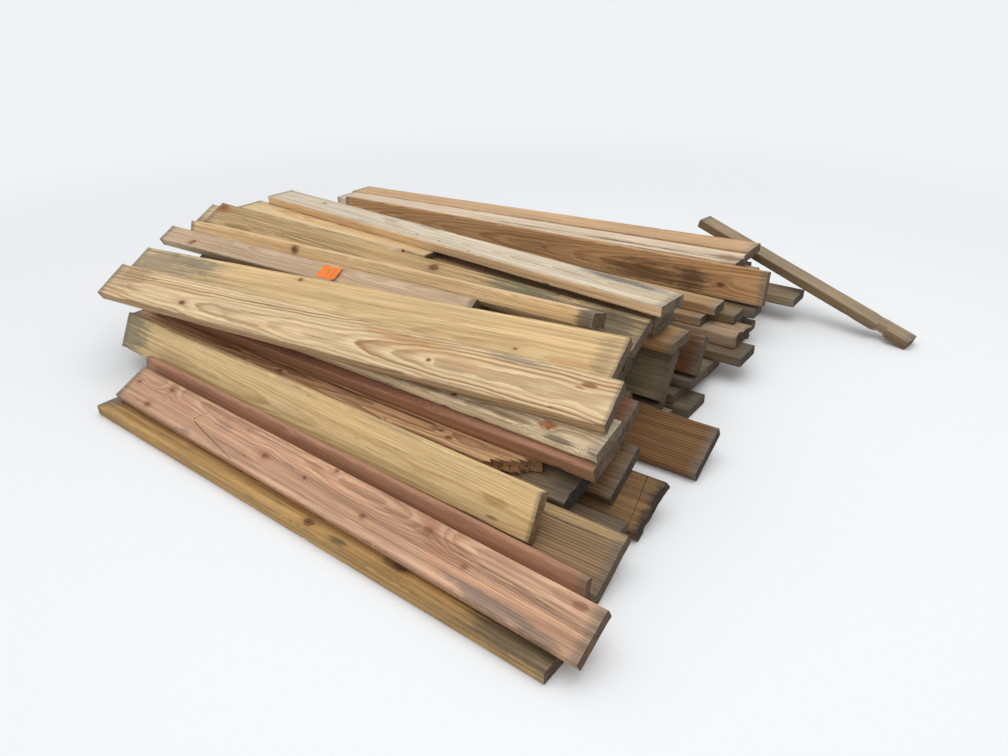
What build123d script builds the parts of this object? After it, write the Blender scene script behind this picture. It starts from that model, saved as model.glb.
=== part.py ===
from build123d import *
from math import radians, sin, cos
import os
import numpy as np

# A loose heap of sawn lumber on level ground. Lengths are in millimetres, angles in degrees.
# x runs along the boards to the right end, y across the heap to its back, z up.

# Sawn stock: dressed two-inch lumber is 38 thick, a few boards are rough-sawn or thin
dressed_thickness = 38.0
rough_thickness = 50.0
full_thickness = 41.0
thin_thickness = 25.0
under_thicknesses = (thin_thickness, dressed_thickness)
narrow_width = 89.0
common_width = 140.0
full_width = 152.0
batten_width = 38.0
wide_width = 184.0
edge_ease = 3.0

# Space left where one board lies on another, and between neighbours in a layer
seat_gap = 0.3
side_gap = 12.0
neighbour_gap = 3.0

# Lengths that the boards were cut to
front_length = 1955.0
pink_length = 1972.0
thin_length = 1944.0
stamped_length = 1970.0
bearer_length = 1950.0
common_length = 2000.0
rough_length = 2050.0
upper_length = 2086.0
rear_length = 2080.0
second_top_length = 2150.0
ridge_length = 2165.0
half_length = 1230.0
tagged_length = 1690.0
eight_foot_length = 2440.0
back_length = 2225.0
stick_length = 1040.0
short_length = 1100.0
block_length = 300.0
low_wide_lengths = (half_length, common_length, common_length)

# Turns about the vertical: the heap is not quite square to the front board
heap_yaw = 2.5
front_yaw = 0.6
leaning_yaw = 2.1
top_yaw = 9.0
second_top_yaw = 8.2
tagged_yaw = 3.7
ridge_yaw = 2.6
gentle_yaw = 1.5
stamped_yaw = 1.4
stick_yaw = -6.4
top_board_yaw = -3.0

# Tilts of the boards that lie like a toppled bundle, and of those that stand nearly on edge
bundle_tilt = 27.5
thin_tilt = 76.0
leaning_tilt = 63.0
charred_tilt = 12.0
slope_tilt = 14.4
ridge_tilt = 20.0
edge_tilt = 80.0
beam_tilt = 62.0
brown_tilt = 65.0
stick_pitch = -17.0

# Insets: how far each right end lies behind the right end of the pinkish front board
front_inset = 60.0
batten_inset = 80.0
thin_inset = 82.0
stamped_inset = 310.0
low_wide_insets = (93.0, 104.0, 126.0)
ground_bearer_inset = 320.0
bearer_insets = (411.0, 146.0)
middle_inset = 231.0
middle_stagger = 37.0
rear_inset = 430.0
rear_stagger = 25.0
charred_inset = 294.0
splintered_inset = 401.0
pink_rough_inset = 241.0
weathered_inset = 239.0
first_top_inset = 251.0
second_top_inset = 326.0
tagged_inset = 921.0
valley_inset = 430.0
wedge_inset = 1500.0
knotty_inset = 401.0
ridge_inset = 507.0
deep_beam_inset = 370.0
beam_top_inset = 361.0
under_inset = 415.0
under_stagger = 3.0
bright_inset = 1401.0
top_board_inset = 382.0
layer_inset = 310.0
layer_stagger = 30.0
layer_recess = 25.0
brown_edge_inset = 336.0
low_rear_inset = 269.0
back_beam_inset = 301.0
rear_stack_inset = 800.0
back_stack_insets = (466.0, 371.0, 431.0)
low_back_inset = 420.0
back_edge_inset = 351.0
rotten_inset = 481.0
back_top_inset = 511.0
back_layer_inset = 470.0
far_layer_insets = (311.0, 560.0, 563.0, 590.0)
stick_inset = -155.0

# Setbacks: how far each near edge lies behind the near edge of the front board
pink_setback = 35.0
thin_gap = 26.0
low_wide_setbacks = (259.0, 522.0, 870.0)
stamped_setback = 275.0
bearer_setback = 420.0
middle_bearer_setback = 682.0
rear_bearer_setback = 1030.0
middle_step = 26.0
rear_step = 18.0
charred_setback = 422.0
splintered_setback = 395.0
pink_rough_setback = 470.0
weathered_setback = 480.0
second_top_setback = 670.0
first_top_setback = 533.0
tagged_setback = 750.0
valley_setback = 935.0
knotty_setback = 931.0
ridge_setback = 880.0
deep_beam_setback = 1090.0
flat_setback = 1127.0
bright_setback = 1075.0
under_setback = 1115.0
top_board_setback = 1070.0
layer_gap = 25.0
layer_setback = rear_bearer_setback + common_width + layer_gap
brown_bearer_step = 60.0
brown_edge_step = 20.0
rear_stack_step = 205.0
low_rear_step = 325.0
back_beam_step = 55.0
back_stack_step = 5.0
low_back_step = 270.0
back_edge_step = 110.0
block_step = 20.0
back_layer_step = 80.0
rotten_step = 15.0
brown_bearer_setback = layer_setback + brown_bearer_step
brown_edge_setback = brown_bearer_setback + brown_edge_step
rear_stack_setback = layer_setback + rear_stack_step
low_rear_setback = layer_setback + low_rear_step
back_beam_setback = low_rear_setback + back_beam_step
back_stack_setback = back_beam_setback + back_stack_step
low_back_setback = low_rear_setback + low_back_step
back_edge_setback = low_back_setback + back_edge_step
back_layer_setback = back_edge_setback + back_layer_step
far_layer_setback = back_layer_setback + wide_width + side_gap
rotten_setback = back_layer_setback - rotten_step
back_top_setback = rotten_setback + common_width + neighbour_gap
stick_setback = 2193.0

# How many boards there are in the parts of the heap that lie in layers
bearer_count = 2
ground_count = 8
second_count = 6
under_count = 2
stack_count = 3
back_count = 4

# Damage: splinters, rot, wane and a bite, told as lengths back from the end and along it
splinter_length = 150.0
rot_depth = 34.0
rot_steps = 9
wane_length = 420.0
wane_depth = 16.0
bite_length = 60.0
bite_place = 260.0
bite_depth = 24.0
overrun = 5.0

# The price tag, a card with one end bent up, on the face of a board
tag_length = 105.0
tag_width = 60.0
tag_thickness = 0.8
tag_place = 1030.0
tag_rise = 9.0
tag_bend = 28.0

# Search steps, in degrees, for boards that settle or lean, and the finest height that counts
first_tip = 1.5
last_tip = 0.03
least_lean = 5.0
most_lean = 60.0
fine_height = 1e-4


def turned(yaw, pitch, roll):
    """Columns: the directions of a board's length, of its width and out of its upper face"""
    y, p, r = radians(yaw), radians(pitch), radians(roll)
    about_z = np.array([[cos(y), -sin(y), 0], [sin(y), cos(y), 0], [0, 0, 1]])
    about_y = np.array([[cos(p), 0, -sin(p)], [0, 1, 0], [sin(p), 0, cos(p)]])
    about_x = np.array([[1, 0, 0], [0, cos(r), -sin(r)], [0, sin(r), cos(r)]])
    return about_z @ about_y @ about_x


class Board:
    """One board: its size and how it lies, told by the near upper corner of its right end"""

    def __init__(self, name, inset, setback, yaw=heap_yaw, pitch=0.0, roll=0.0,
                 length=common_length, width=common_width, thickness=dressed_thickness):
        self.name = name
        self.half = np.array([length, width, thickness]) / 2
        self.core = self.half - edge_ease * np.array([0, 1, 1])
        self.x = -inset
        self.y = setback
        self.yaw = yaw
        self.turn(pitch, roll)

    def turn(self, pitch, roll):
        self.pitch = pitch
        self.roll = roll
        self.axes = turned(self.yaw, pitch, roll)
        middle = self.axes @ (self.half * np.array([-1, 1, -1]))
        self.center = np.array([self.x + middle[0], self.y + middle[1], 0.0])


def reach(along, core):
    """Half the extent, along directions given in its own axes, of a board with rounded long edges"""
    return (np.abs(along) * core).sum(-1) + edge_ease * np.hypot(along[..., 1], along[..., 2])


def clear_heights(board, others):
    """For each other board, the height that the board's middle needs to pass clear above it"""
    if not others:
        return []
    axes = np.array([other.axes.T for other in others])
    cores = np.array([other.core for other in others])[:, None, :]
    offsets = board.center - np.array([other.center for other in others])
    own = np.broadcast_to(board.axes.T, axes.shape)
    crossed = np.cross(own[:, :, None, :], axes[:, None, :, :]).reshape(len(others), 9, 3)
    size = np.linalg.norm(crossed, axis=2, keepdims=True)
    crossed = np.where(size > 1e-6, crossed / np.maximum(size, 1e-6), own[:, :1, :])
    normals = np.concatenate([own, axes, crossed], axis=1)
    room = reach(normals @ board.axes, board.core) + seat_gap
    room = room + reach(np.einsum("nij,nkj->nik", normals, axes), cores)
    apart = np.einsum("nij,nj->ni", normals, offsets)
    rise = normals[..., 2]
    level = np.abs(rise) < 1e-9
    ends = np.stack([-room - apart, room - apart]) / np.where(level, 1.0, rise)
    beside = np.where(np.abs(apart) < room, -np.inf, np.inf)
    start = np.where(level, beside, ends.min(0)).max(1)
    end = np.where(level, np.inf, ends.max(0)).min(1)
    return np.where(start < end, end, -np.inf)


def rest_height(board, below):
    """The lowest height of the board's middle, on the ground or on the boards below"""
    return max([reach(board.axes[2], board.core), *clear_heights(board, below)])


def settle(board, below, tips):
    """Tip a board to the lowest rest near its own tilt"""
    height = rest_height(board, below)
    step = first_tip
    while step > last_tip:
        pitch, roll = board.pitch, board.roll
        trials = []
        for tip in tips:
            board.turn(pitch + step * tip[0], roll + step * tip[1])
            trials.append((rest_height(board, below), board.pitch, board.roll))
        best = min(trials)
        if best[0] < height - fine_height:
            height = best[0]
            board.turn(best[1], best[2])
        else:
            board.turn(pitch, roll)
            step /= 2


def lean(board, carriers, rest):
    """Roll a board until its far side lies on its carriers while its near side lies on the rest"""
    low, high = least_lean, most_lean
    while high - low > fine_height:
        middle = (low + high) / 2
        board.turn(board.pitch, middle)
        if max(clear_heights(board, carriers)) > rest_height(board, rest):
            low = middle
        else:
            high = middle
    board.turn(board.pitch, high)


heap = {}
BOTH_WAYS = ((1, 0), (-1, 0), (0, 1), (0, -1))
ALONG = ((1, 0), (-1, 0))
ACROSS = ((0, 1), (0, -1))


def lay(name, inset, setback, tips=(), far=(), **shape):
    """Lower a board onto the heap, straight down. It may settle, or lean on carriers at its far side."""
    board = Board(name, inset, setback, **shape)
    if far:
        rest = [other for other in heap.values() if other.name not in far]
        lean(board, [heap[other] for other in far], rest)
    if tips:
        settle(board, heap.values(), tips)
    board.center[2] = rest_height(board, list(heap.values()))
    heap[name] = board


# Three wide boards lean back on bearers, and the toppled bundles lie on two of them
for count, inset in enumerate(bearer_insets, 1):
    lay(f"low_bearer_{count}", inset, bearer_setback, length=bearer_length, width=narrow_width)
for count in range(1, bearer_count + 1):
    inset = ground_bearer_inset + count * layer_stagger
    lay(f"middle_bearer_{count}", inset, middle_bearer_setback, length=bearer_length)
    lay(f"rear_bearer_{count}", inset, rear_bearer_setback, length=common_length)
carriers = ("low_bearer", "middle_bearer", "rear_bearer")
low_wide_names = ("first_wide_board", "second_wide_board", "third_wide_board")
for place, name in enumerate(low_wide_names):
    far = [f"{carriers[place]}_{count}" for count in range(1, bearer_count + 1)]
    lay(name, low_wide_insets[place], low_wide_setbacks[place], far=far,
        length=low_wide_lengths[place], width=wide_width)

# The front board lies flat, and the pinkish one leans on a batten that lies along its far side.
# A thin board stands behind them.
lay("front_board", front_inset, 0, yaw=front_yaw, length=front_length)
batten_setback = common_width - batten_width
lay("front_batten", batten_inset, batten_setback, yaw=0, length=bearer_length, width=batten_width,
    thickness=thin_thickness)
thin_setback = common_width + thin_gap
lay("thin_board", thin_inset, thin_setback, yaw=0, roll=thin_tilt, length=thin_length,
    thickness=thin_thickness)
lay("pink_board", 0, pink_setback, yaw=0, far=["front_batten"], length=pink_length)

# The layers on the ground behind the bundles
stagger_order = (0, 2, 1, 3)
for count in range(ground_count):
    order = stagger_order[count % len(stagger_order)]
    inset = layer_inset + order * layer_stagger + count * layer_recess
    lay(f"ground_board_{count + 1}", inset, layer_setback + count * (common_width + side_gap),
        yaw=gentle_yaw, length=rear_length)
for count in range(second_count):
    order = stagger_order[(count + 1) % len(stagger_order)]
    inset = layer_inset + order * layer_stagger + count * layer_recess
    lay(f"second_board_{count + 1}", inset, layer_setback + count * (wide_width + side_gap),
        yaw=gentle_yaw, length=rear_length, width=wide_width)

# The deep beam leans back behind the wide boards
lay("deep_beam", deep_beam_inset, deep_beam_setback, yaw=gentle_yaw, roll=beam_tilt,
    length=rear_length, width=wide_width, thickness=rough_thickness)

# The two toppled bundles, their ends staggered
for count, order in enumerate(stagger_order, 1):
    lay(f"middle_board_{count}", middle_inset + order * middle_stagger,
        low_wide_setbacks[1] + count * middle_step, roll=bundle_tilt, width=wide_width)
for count, order in enumerate(stagger_order, 1):
    lay(f"rear_board_{count}", rear_inset + order * rear_stagger,
        low_wide_setbacks[2] + count * rear_step, roll=bundle_tilt,
        length=rough_length, width=common_width if count % 2 else wide_width)

# The front slope of the heap, from the stamped board on its edge up to the weathered one
lay("stamped_board", stamped_inset, stamped_setback, ALONG, yaw=stamped_yaw, roll=leaning_tilt,
    length=stamped_length)
lay("charred_board", charred_inset, charred_setback, roll=charred_tilt, thickness=rough_thickness)
lay("splintered_board", splintered_inset, splintered_setback, yaw=leaning_yaw,
    length=stamped_length, width=narrow_width)
lay("pink_rough_board", pink_rough_inset, pink_rough_setback, roll=slope_tilt,
    length=rough_length, thickness=rough_thickness)
lay("weathered_board", weathered_inset, weathered_setback, yaw=leaning_yaw, roll=slope_tilt)

# The top of the heap: the tagged board, then the two broad ones that lean over it
lay("tagged_board", tagged_inset, tagged_setback, ALONG, yaw=tagged_yaw, roll=bundle_tilt,
    length=tagged_length, width=narrow_width)
lay("second_top_board", second_top_inset, second_top_setback, ALONG, yaw=second_top_yaw,
    roll=bundle_tilt, length=second_top_length, width=wide_width)
lay("first_top_board", first_top_inset, first_top_setback, yaw=top_yaw,
    far=["second_top_board"], length=upper_length, width=full_width, thickness=full_thickness)
lay("valley_board", valley_inset, valley_setback, yaw=ridge_yaw, roll=bundle_tilt,
    length=rear_length, thickness=rough_thickness)
lay("wedge_board", wedge_inset, valley_setback, ALONG, yaw=ridge_yaw, roll=bundle_tilt,
    length=half_length, thickness=thin_thickness)
lay("knotty_board", knotty_inset, knotty_setback, ALONG, yaw=ridge_yaw, roll=bundle_tilt,
    length=ridge_length)
lay("ridge_board", ridge_inset, ridge_setback, ALONG, yaw=tagged_yaw, roll=-ridge_tilt,
    length=common_length, width=narrow_width, thickness=rough_thickness)

# What lies on the deep beam, the brown board that leans behind it, and the long board on top
lay("brown_edge_bearer", brown_edge_inset, brown_bearer_setback, yaw=gentle_yaw)
lay("brown_edge_board", brown_edge_inset, brown_edge_setback, yaw=gentle_yaw, roll=brown_tilt)
lay("beam_top_board", beam_top_inset, flat_setback, yaw=gentle_yaw, length=rear_length)
for count in range(1, under_count + 1):
    lay(f"under_board_{count}", under_inset + count * under_stagger, under_setback, yaw=gentle_yaw,
        length=rear_length, thickness=under_thicknesses[count - 1])
lay("bright_board", bright_inset, bright_setback, ALONG, yaw=front_yaw, length=half_length,
    thickness=thin_thickness)
lay("top_board", top_board_inset, top_board_setback, BOTH_WAYS, yaw=top_board_yaw,
    length=ridge_length)

# Between the beam and the back: low boards, a thick flat one and the short ends that lie on it
for count in range(1, stack_count + 1):
    lay(f"rear_stack_board_{count}", rear_stack_inset + count * layer_stagger, rear_stack_setback,
        yaw=gentle_yaw, width=narrow_width)
lay("low_rear_board", low_rear_inset, low_rear_setback, yaw=gentle_yaw, length=rear_length)
lay("back_beam_board", back_beam_inset, back_beam_setback, yaw=gentle_yaw, length=rear_length,
    thickness=rough_thickness)
back_stack_steps = (0, narrow_width + neighbour_gap, narrow_width / 2)
for count in range(1, stack_count + 1):
    lay(f"back_stack_board_{count}", back_stack_insets[count - 1],
        back_stack_setback + back_stack_steps[count - 1], yaw=gentle_yaw, length=short_length,
        width=narrow_width)
lay("low_back_board", low_back_inset, low_back_setback, yaw=gentle_yaw, length=back_length,
    width=wide_width)

# The back of the heap: a long board on its edge, with a block under its right end, the layers
# behind it, and a stick that leans on them
lay("end_block", back_edge_inset + block_step, back_edge_setback - block_step, yaw=gentle_yaw,
    length=block_length, width=narrow_width)
lay("back_edge_board", back_edge_inset, back_edge_setback, ALONG, yaw=gentle_yaw, roll=edge_tilt,
    length=eight_foot_length)
for count in range(1, back_count + 1):
    order = stagger_order[count % len(stagger_order)]
    layer_length = back_length if count < back_count else short_length
    lay(f"back_layer_board_{count}", back_layer_inset + order * layer_stagger, back_layer_setback,
        yaw=gentle_yaw, length=layer_length, width=wide_width)
    lay(f"far_layer_board_{count}", far_layer_insets[count - 1], far_layer_setback,
        yaw=gentle_yaw, length=layer_length)
lay("rotten_board", rotten_inset, rotten_setback, ALONG, yaw=gentle_yaw, length=eight_foot_length)
lay("back_top_board", back_top_inset, back_top_setback, ALONG, yaw=gentle_yaw,
    length=eight_foot_length)
lay("stick", stick_inset, stick_setback, ALONG, yaw=stick_yaw, pitch=stick_pitch,
    length=stick_length, width=narrow_width)


# The heap's own frame: the middle of the box around it, on the ground
def extent(side):
    """The outermost point of the heap along a direction"""
    side = np.array(side)
    return max(side @ board.center + reach(side @ board.axes, board.core) for board in heap.values())


middle_x = (extent([1, 0, 0]) - extent([-1, 0, 0])) / 2
middle_y = (extent([0, 1, 0]) - extent([0, -1, 0])) / 2
for board in heap.values():
    board.center = board.center - np.array([middle_x, middle_y, 0])


# Each board's solid
def board_frame(board, along, across, up, x_axis, z_axis):
    """A plane at a point of a board, told in its own axes from its middle"""
    origin = board.center + board.axes @ np.array([along, across, up])
    return Plane(origin=tuple(origin), x_dir=tuple(board.axes[:, x_axis]),
                 z_dir=tuple(board.axes[:, z_axis]))


def sawn(board):
    """A board with eased long edges and square ends"""
    length, width, thickness = board.half * 2
    with BuildPart() as blank:
        with BuildSketch(board_frame(board, -length / 2, 0, 0, 1, 0)):
            RectangleRounded(width, thickness, edge_ease)
        extrude(amount=length)
    return blank.part


def worn_end(board, outline):
    """Cut pieces out of a board's right end: outline holds places back from the end and across"""
    length, width, thickness = board.half * 2
    with BuildPart() as worn:
        add(sawn(board))
        with BuildSketch(board_frame(board, length / 2, -width / 2, thickness / 2, 0, 2)):
            with BuildLine():
                Polyline(*[(-back, across) for back, across in outline], close=True)
            make_face()
        extrude(amount=-thickness, mode=Mode.SUBTRACT)
    return worn.part


def splintered_end(board):
    """The right end has split away in long slivers, told as shares of their length and of the width"""
    width = board.half[1] * 2
    beyond = -overrun / splinter_length
    slivers = ((0.95, -overrun / width), (0.55, 0.1), (0.8, 0.28), (0.2, 0.36), (0.5, 0.52),
               (0.1, 0.62), (0.35, 0.78), (beyond, 0.86), (beyond, -overrun / width))
    return worn_end(board, [(back * splinter_length, across * width) for back, across in slivers])


def rotten_end(board):
    """The right end is eaten away unevenly"""
    width = board.half[1] * 2
    outline = [(-overrun, -overrun)]
    for step in range(rot_steps + 1):
        bite = 0.5 + 0.3 * sin(2.1 * step) + 0.2 * cos(5.3 * step)
        outline.append((rot_depth * bite, -overrun + step * (width + 2 * overrun) / rot_steps))
    outline.append((-overrun, width + overrun))
    return worn_end(board, outline)


def waned_edge(board):
    """Bark has come off the near upper edge by the right end"""
    length, width, thickness = board.half * 2
    with BuildPart() as worn:
        add(sawn(board))
        with BuildSketch(board_frame(board, length / 2 - wane_length, -width / 2, thickness / 2, 1, 0)):
            with BuildLine():
                Polyline((-overrun, overrun), (wane_depth + overrun, overrun),
                         (-overrun, -wane_depth - overrun), close=True)
            make_face()
        extrude(amount=wane_length + overrun, mode=Mode.SUBTRACT)
    return worn.part


def bitten_edge(board):
    """A bite out of the near edge, with sloping ends"""
    slope = bite_length / 4
    outline = ((bite_place, -overrun), (bite_place + slope, bite_depth),
               (bite_place + bite_length - slope, bite_depth), (bite_place + bite_length, -overrun))
    return worn_end(board, outline)


shapes = {"splintered_board": splintered_end, "second_wide_board": rotten_end,
          "weathered_board": waned_edge, "stick": bitten_edge, "rotten_board": rotten_end}

# Boards that lie inside the heap share a node with their like
groups = ("low_bearer", "middle_bearer", "rear_bearer", "ground_board", "second_board",
          "back_layer_board", "far_layer_board", "under_board")
nodes = {}
for name, board in heap.items():
    group = name.rsplit("_", 1)[0]
    node = group + "s" if group in groups else name
    nodes.setdefault(node, []).append(shapes.get(name, sawn)(board))

os.makedirs("parts", exist_ok=True)
for node, solids in nodes.items():
    with BuildPart() as piece:
        for solid in solids:
            add(solid)
    piece.part.label = node
    export_step(piece.part, f"parts/{node}.step")

# The price tag, a thin card that lies on the tagged board with one end bent up
carrier = heap["tagged_board"]
with BuildPart() as lot_tag:
    length_axis, width_axis, up_axis = carrier.axes.T
    face_height = carrier.half[2] + seat_gap + tag_thickness / 2
    middle = carrier.center + (tag_place - carrier.half[0]) * length_axis + face_height * up_axis
    with BuildSketch(Plane(origin=tuple(middle), x_dir=tuple(length_axis), z_dir=tuple(-width_axis))):
        with BuildLine() as fold:
            flat = Line((-tag_length / 2, 0), (tag_length / 2 - tag_bend, 0))
            Line(flat @ 1, (tag_length / 2, tag_rise))
        trace(line_width=tag_thickness)
    extrude(amount=tag_width / 2, both=True)
lot_tag.part.label = "lot_tag"
export_step(lot_tag.part, "parts/lot_tag.step")
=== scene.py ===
import math

import bpy
import numpy as np
from mathutils import Matrix, Vector


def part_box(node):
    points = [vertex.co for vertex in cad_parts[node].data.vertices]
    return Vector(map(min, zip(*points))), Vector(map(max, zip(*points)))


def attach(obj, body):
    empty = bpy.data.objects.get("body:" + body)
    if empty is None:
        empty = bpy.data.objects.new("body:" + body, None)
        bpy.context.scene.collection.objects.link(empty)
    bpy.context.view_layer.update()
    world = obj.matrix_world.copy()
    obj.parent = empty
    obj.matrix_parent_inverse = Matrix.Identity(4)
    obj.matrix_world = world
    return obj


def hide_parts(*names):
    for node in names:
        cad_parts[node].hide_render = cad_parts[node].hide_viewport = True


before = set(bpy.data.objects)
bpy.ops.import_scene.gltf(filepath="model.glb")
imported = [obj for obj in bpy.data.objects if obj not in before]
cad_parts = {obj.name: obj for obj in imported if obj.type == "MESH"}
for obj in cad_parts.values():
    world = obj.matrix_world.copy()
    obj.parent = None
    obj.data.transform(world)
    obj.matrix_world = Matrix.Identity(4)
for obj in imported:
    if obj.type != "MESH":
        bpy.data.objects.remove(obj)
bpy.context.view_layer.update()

# A loose heap of used boards. Each has a worn mesh and a wood of its own. Lengths are in metres.
# On a board, x runs to its right end, y to its far edge and z out of its face, from its middle.

# The hash behind the seeded noise of the meshes
CELL_STEPS = np.array([73856093, 19349663, 83492791])
SEED_STEP = 668265263
FIRST_MIXER = 2246822519
SECOND_MIXER = 3266489917
WORD = 0xFFFFFFFF
SHARE_BITS = 0xFFFFFF


def scatter(cells, seed):
    """A seeded random share, from 0 to 1, for each cell of space"""
    mixed = (cells.astype(np.int64) * CELL_STEPS).sum(-1)
    h = (mixed + seed * SEED_STEP) & WORD
    h = ((h ^ (h >> 15)) * FIRST_MIXER) & WORD
    h = ((h ^ (h >> 13)) * SECOND_MIXER) & WORD
    return ((h ^ (h >> 16)) & SHARE_BITS) / SHARE_BITS


def noise(points, seed):
    """Smooth seeded noise, from 0 to 1, at each point"""
    cell = np.floor(points)
    f = points - cell
    f = f * f * (3 - 2 * f)
    total = 0.0
    for corner in np.ndindex(2, 2, 2):
        weight = np.where(corner, f, 1 - f).prod(-1)
        total = total + weight * scatter(cell + np.array(corner), seed)
    return total


def ramp(value, low, high):
    """A smooth rise from 0 at low to 1 at high"""
    value = np.clip((value - low) / (high - low), 0, 1)
    return value * value * (3 - 2 * value)


class Lie:
    """How a board lies, read off the faces of its solid: its axes, its size and its middle"""

    # Faces count as facing one way above the first cosine, and as spoken for above the second
    same_way = 0.9995
    near_way = 0.97
    # A board that stands nearly on edge has the face towards the front as its upper one
    front_lean = 0.3

    def __init__(self, points, normals, areas):
        sums = []
        left = np.ones(len(areas), bool)
        while left.any() and len(sums) < 3:
            first = np.argmax(np.where(left, areas, 0))
            cosines = np.abs(normals @ normals[first])
            sums.append((areas[left & (cosines > self.same_way)].sum(), normals[first]))
            left &= cosines <= self.near_way
        sums.sort(key=lambda pair: -pair[0])
        up, across = sums[0][1], sums[1][1]
        along = np.cross(across, up)
        along = along / np.linalg.norm(along)
        if along[0] < 0:
            along = -along
        if up[2] - self.front_lean * up[1] < 0:
            up = -up
        across = np.cross(up, along)
        self.axes = np.array([along, across, up]).T
        local = points @ self.axes
        low, high = local.min(0), local.max(0)
        self.size = high - low
        self.center = self.axes @ ((low + high) / 2)

    def matrix(self):
        turn = Matrix([list(row) for row in self.axes])
        return Matrix.Translation(Vector(self.center)) @ turn.to_4x4()


def lies(node):
    """One Lie for each solid of a node"""
    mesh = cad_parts[node].data
    count = len(mesh.vertices)
    points = np.empty(count * 3)
    mesh.vertices.foreach_get("co", points)
    points = points.reshape(-1, 3)
    rounded = {}
    parent = list(range(count))

    def find(a):
        while parent[a] != a:
            parent[a] = parent[parent[a]]
            a = parent[a]
        return a

    # Corners at one place are one corner, and the corners of one face belong to one solid
    for index, point in enumerate(np.round(points, 6)):
        parent[find(index)] = find(rounded.setdefault(tuple(point), index))
    for polygon in mesh.polygons:
        first = find(polygon.vertices[0])
        for other in polygon.vertices[1:]:
            parent[find(other)] = first
            first = find(first)
    groups = {}
    for polygon in mesh.polygons:
        groups.setdefault(find(polygon.vertices[0]), []).append(polygon)
    found = []
    for polygons in groups.values():
        used = sorted({v for polygon in polygons for v in polygon.vertices})
        normals = np.array([polygon.normal[:] for polygon in polygons])
        areas = np.array([polygon.area for polygon in polygons])
        found.append(Lie(points[used], normals, areas))
    found.sort(key=lambda lie: (round(lie.center[2], 2), lie.center[1]))
    return found


# How finely a board's mesh is divided: the step along it, and the flats over its width and thickness
FINE_MESH = (0.012, 14, 5)
COARSE_MESH = (0.03, 8, 3)
NARROW_WIDTH = 0.06
NARROW_FLATS = 6
LEAST_STEPS = 24
ARC_STEPS = 3
CAP_SHARES = (1.0, 0.93, 0.75, 0.5, 0.22, 0.0)

# The section's corners in turn, as signs across and up
CORNERS = ((1, 1), (-1, 1), (-1, -1), (1, -1))

# Each kind of wear has noise of its own, with a seed and three scales. On the long edges and faces
# the first scale goes along the board, and on the ends the first two go across it and up
LAYERS = {
    "edges": (0, (14, 7.3, 1)),
    "sawing": (1, (9, 30, 30)),
    "dents": (2, (27.9, 93, 93)),
    "bark": (5, (7, 1, 1)),
    "cut": (7, (25, 25, 1)),
    "uneven": (8, (70, 30, 1)),
    "slivers": (9, (160, 60, 1)),
    "rot": (10, (38, 22, 1)),
    "fine_rot": (11, (110, 70, 1)),
    "caps": (12, (220, 220, 1)),
}

# How much of a splintered end's length each sliver has lost, from the near edge to the far one
SLIVERS = (0.99, 0.72, 0.98, 0.62, 0.85, 0.4, 0.6, 0.25, 0.48, 0.18, 0.32, 0.1, 0.02)

# The wear of every board, its nicks for each metre of length
EDGE_ROUND = 0.0038
NICKS_A_METRE = 10
NICK_REACH = (0.006, 0.035)
NICK_DEPTH = (0.001, 0.006)
WANE_FADE = 0.08
CUT_DEPTH = 0.0015
UNEVEN_DEPTH = 0.001
CAP_DEPTH = 0.0018
LEAST_END_SPAN = 0.12

# The wear of a board unless its look says otherwise
SHAPE = dict(rough=0.0006, wane=(), bites=(), ends=())


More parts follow.
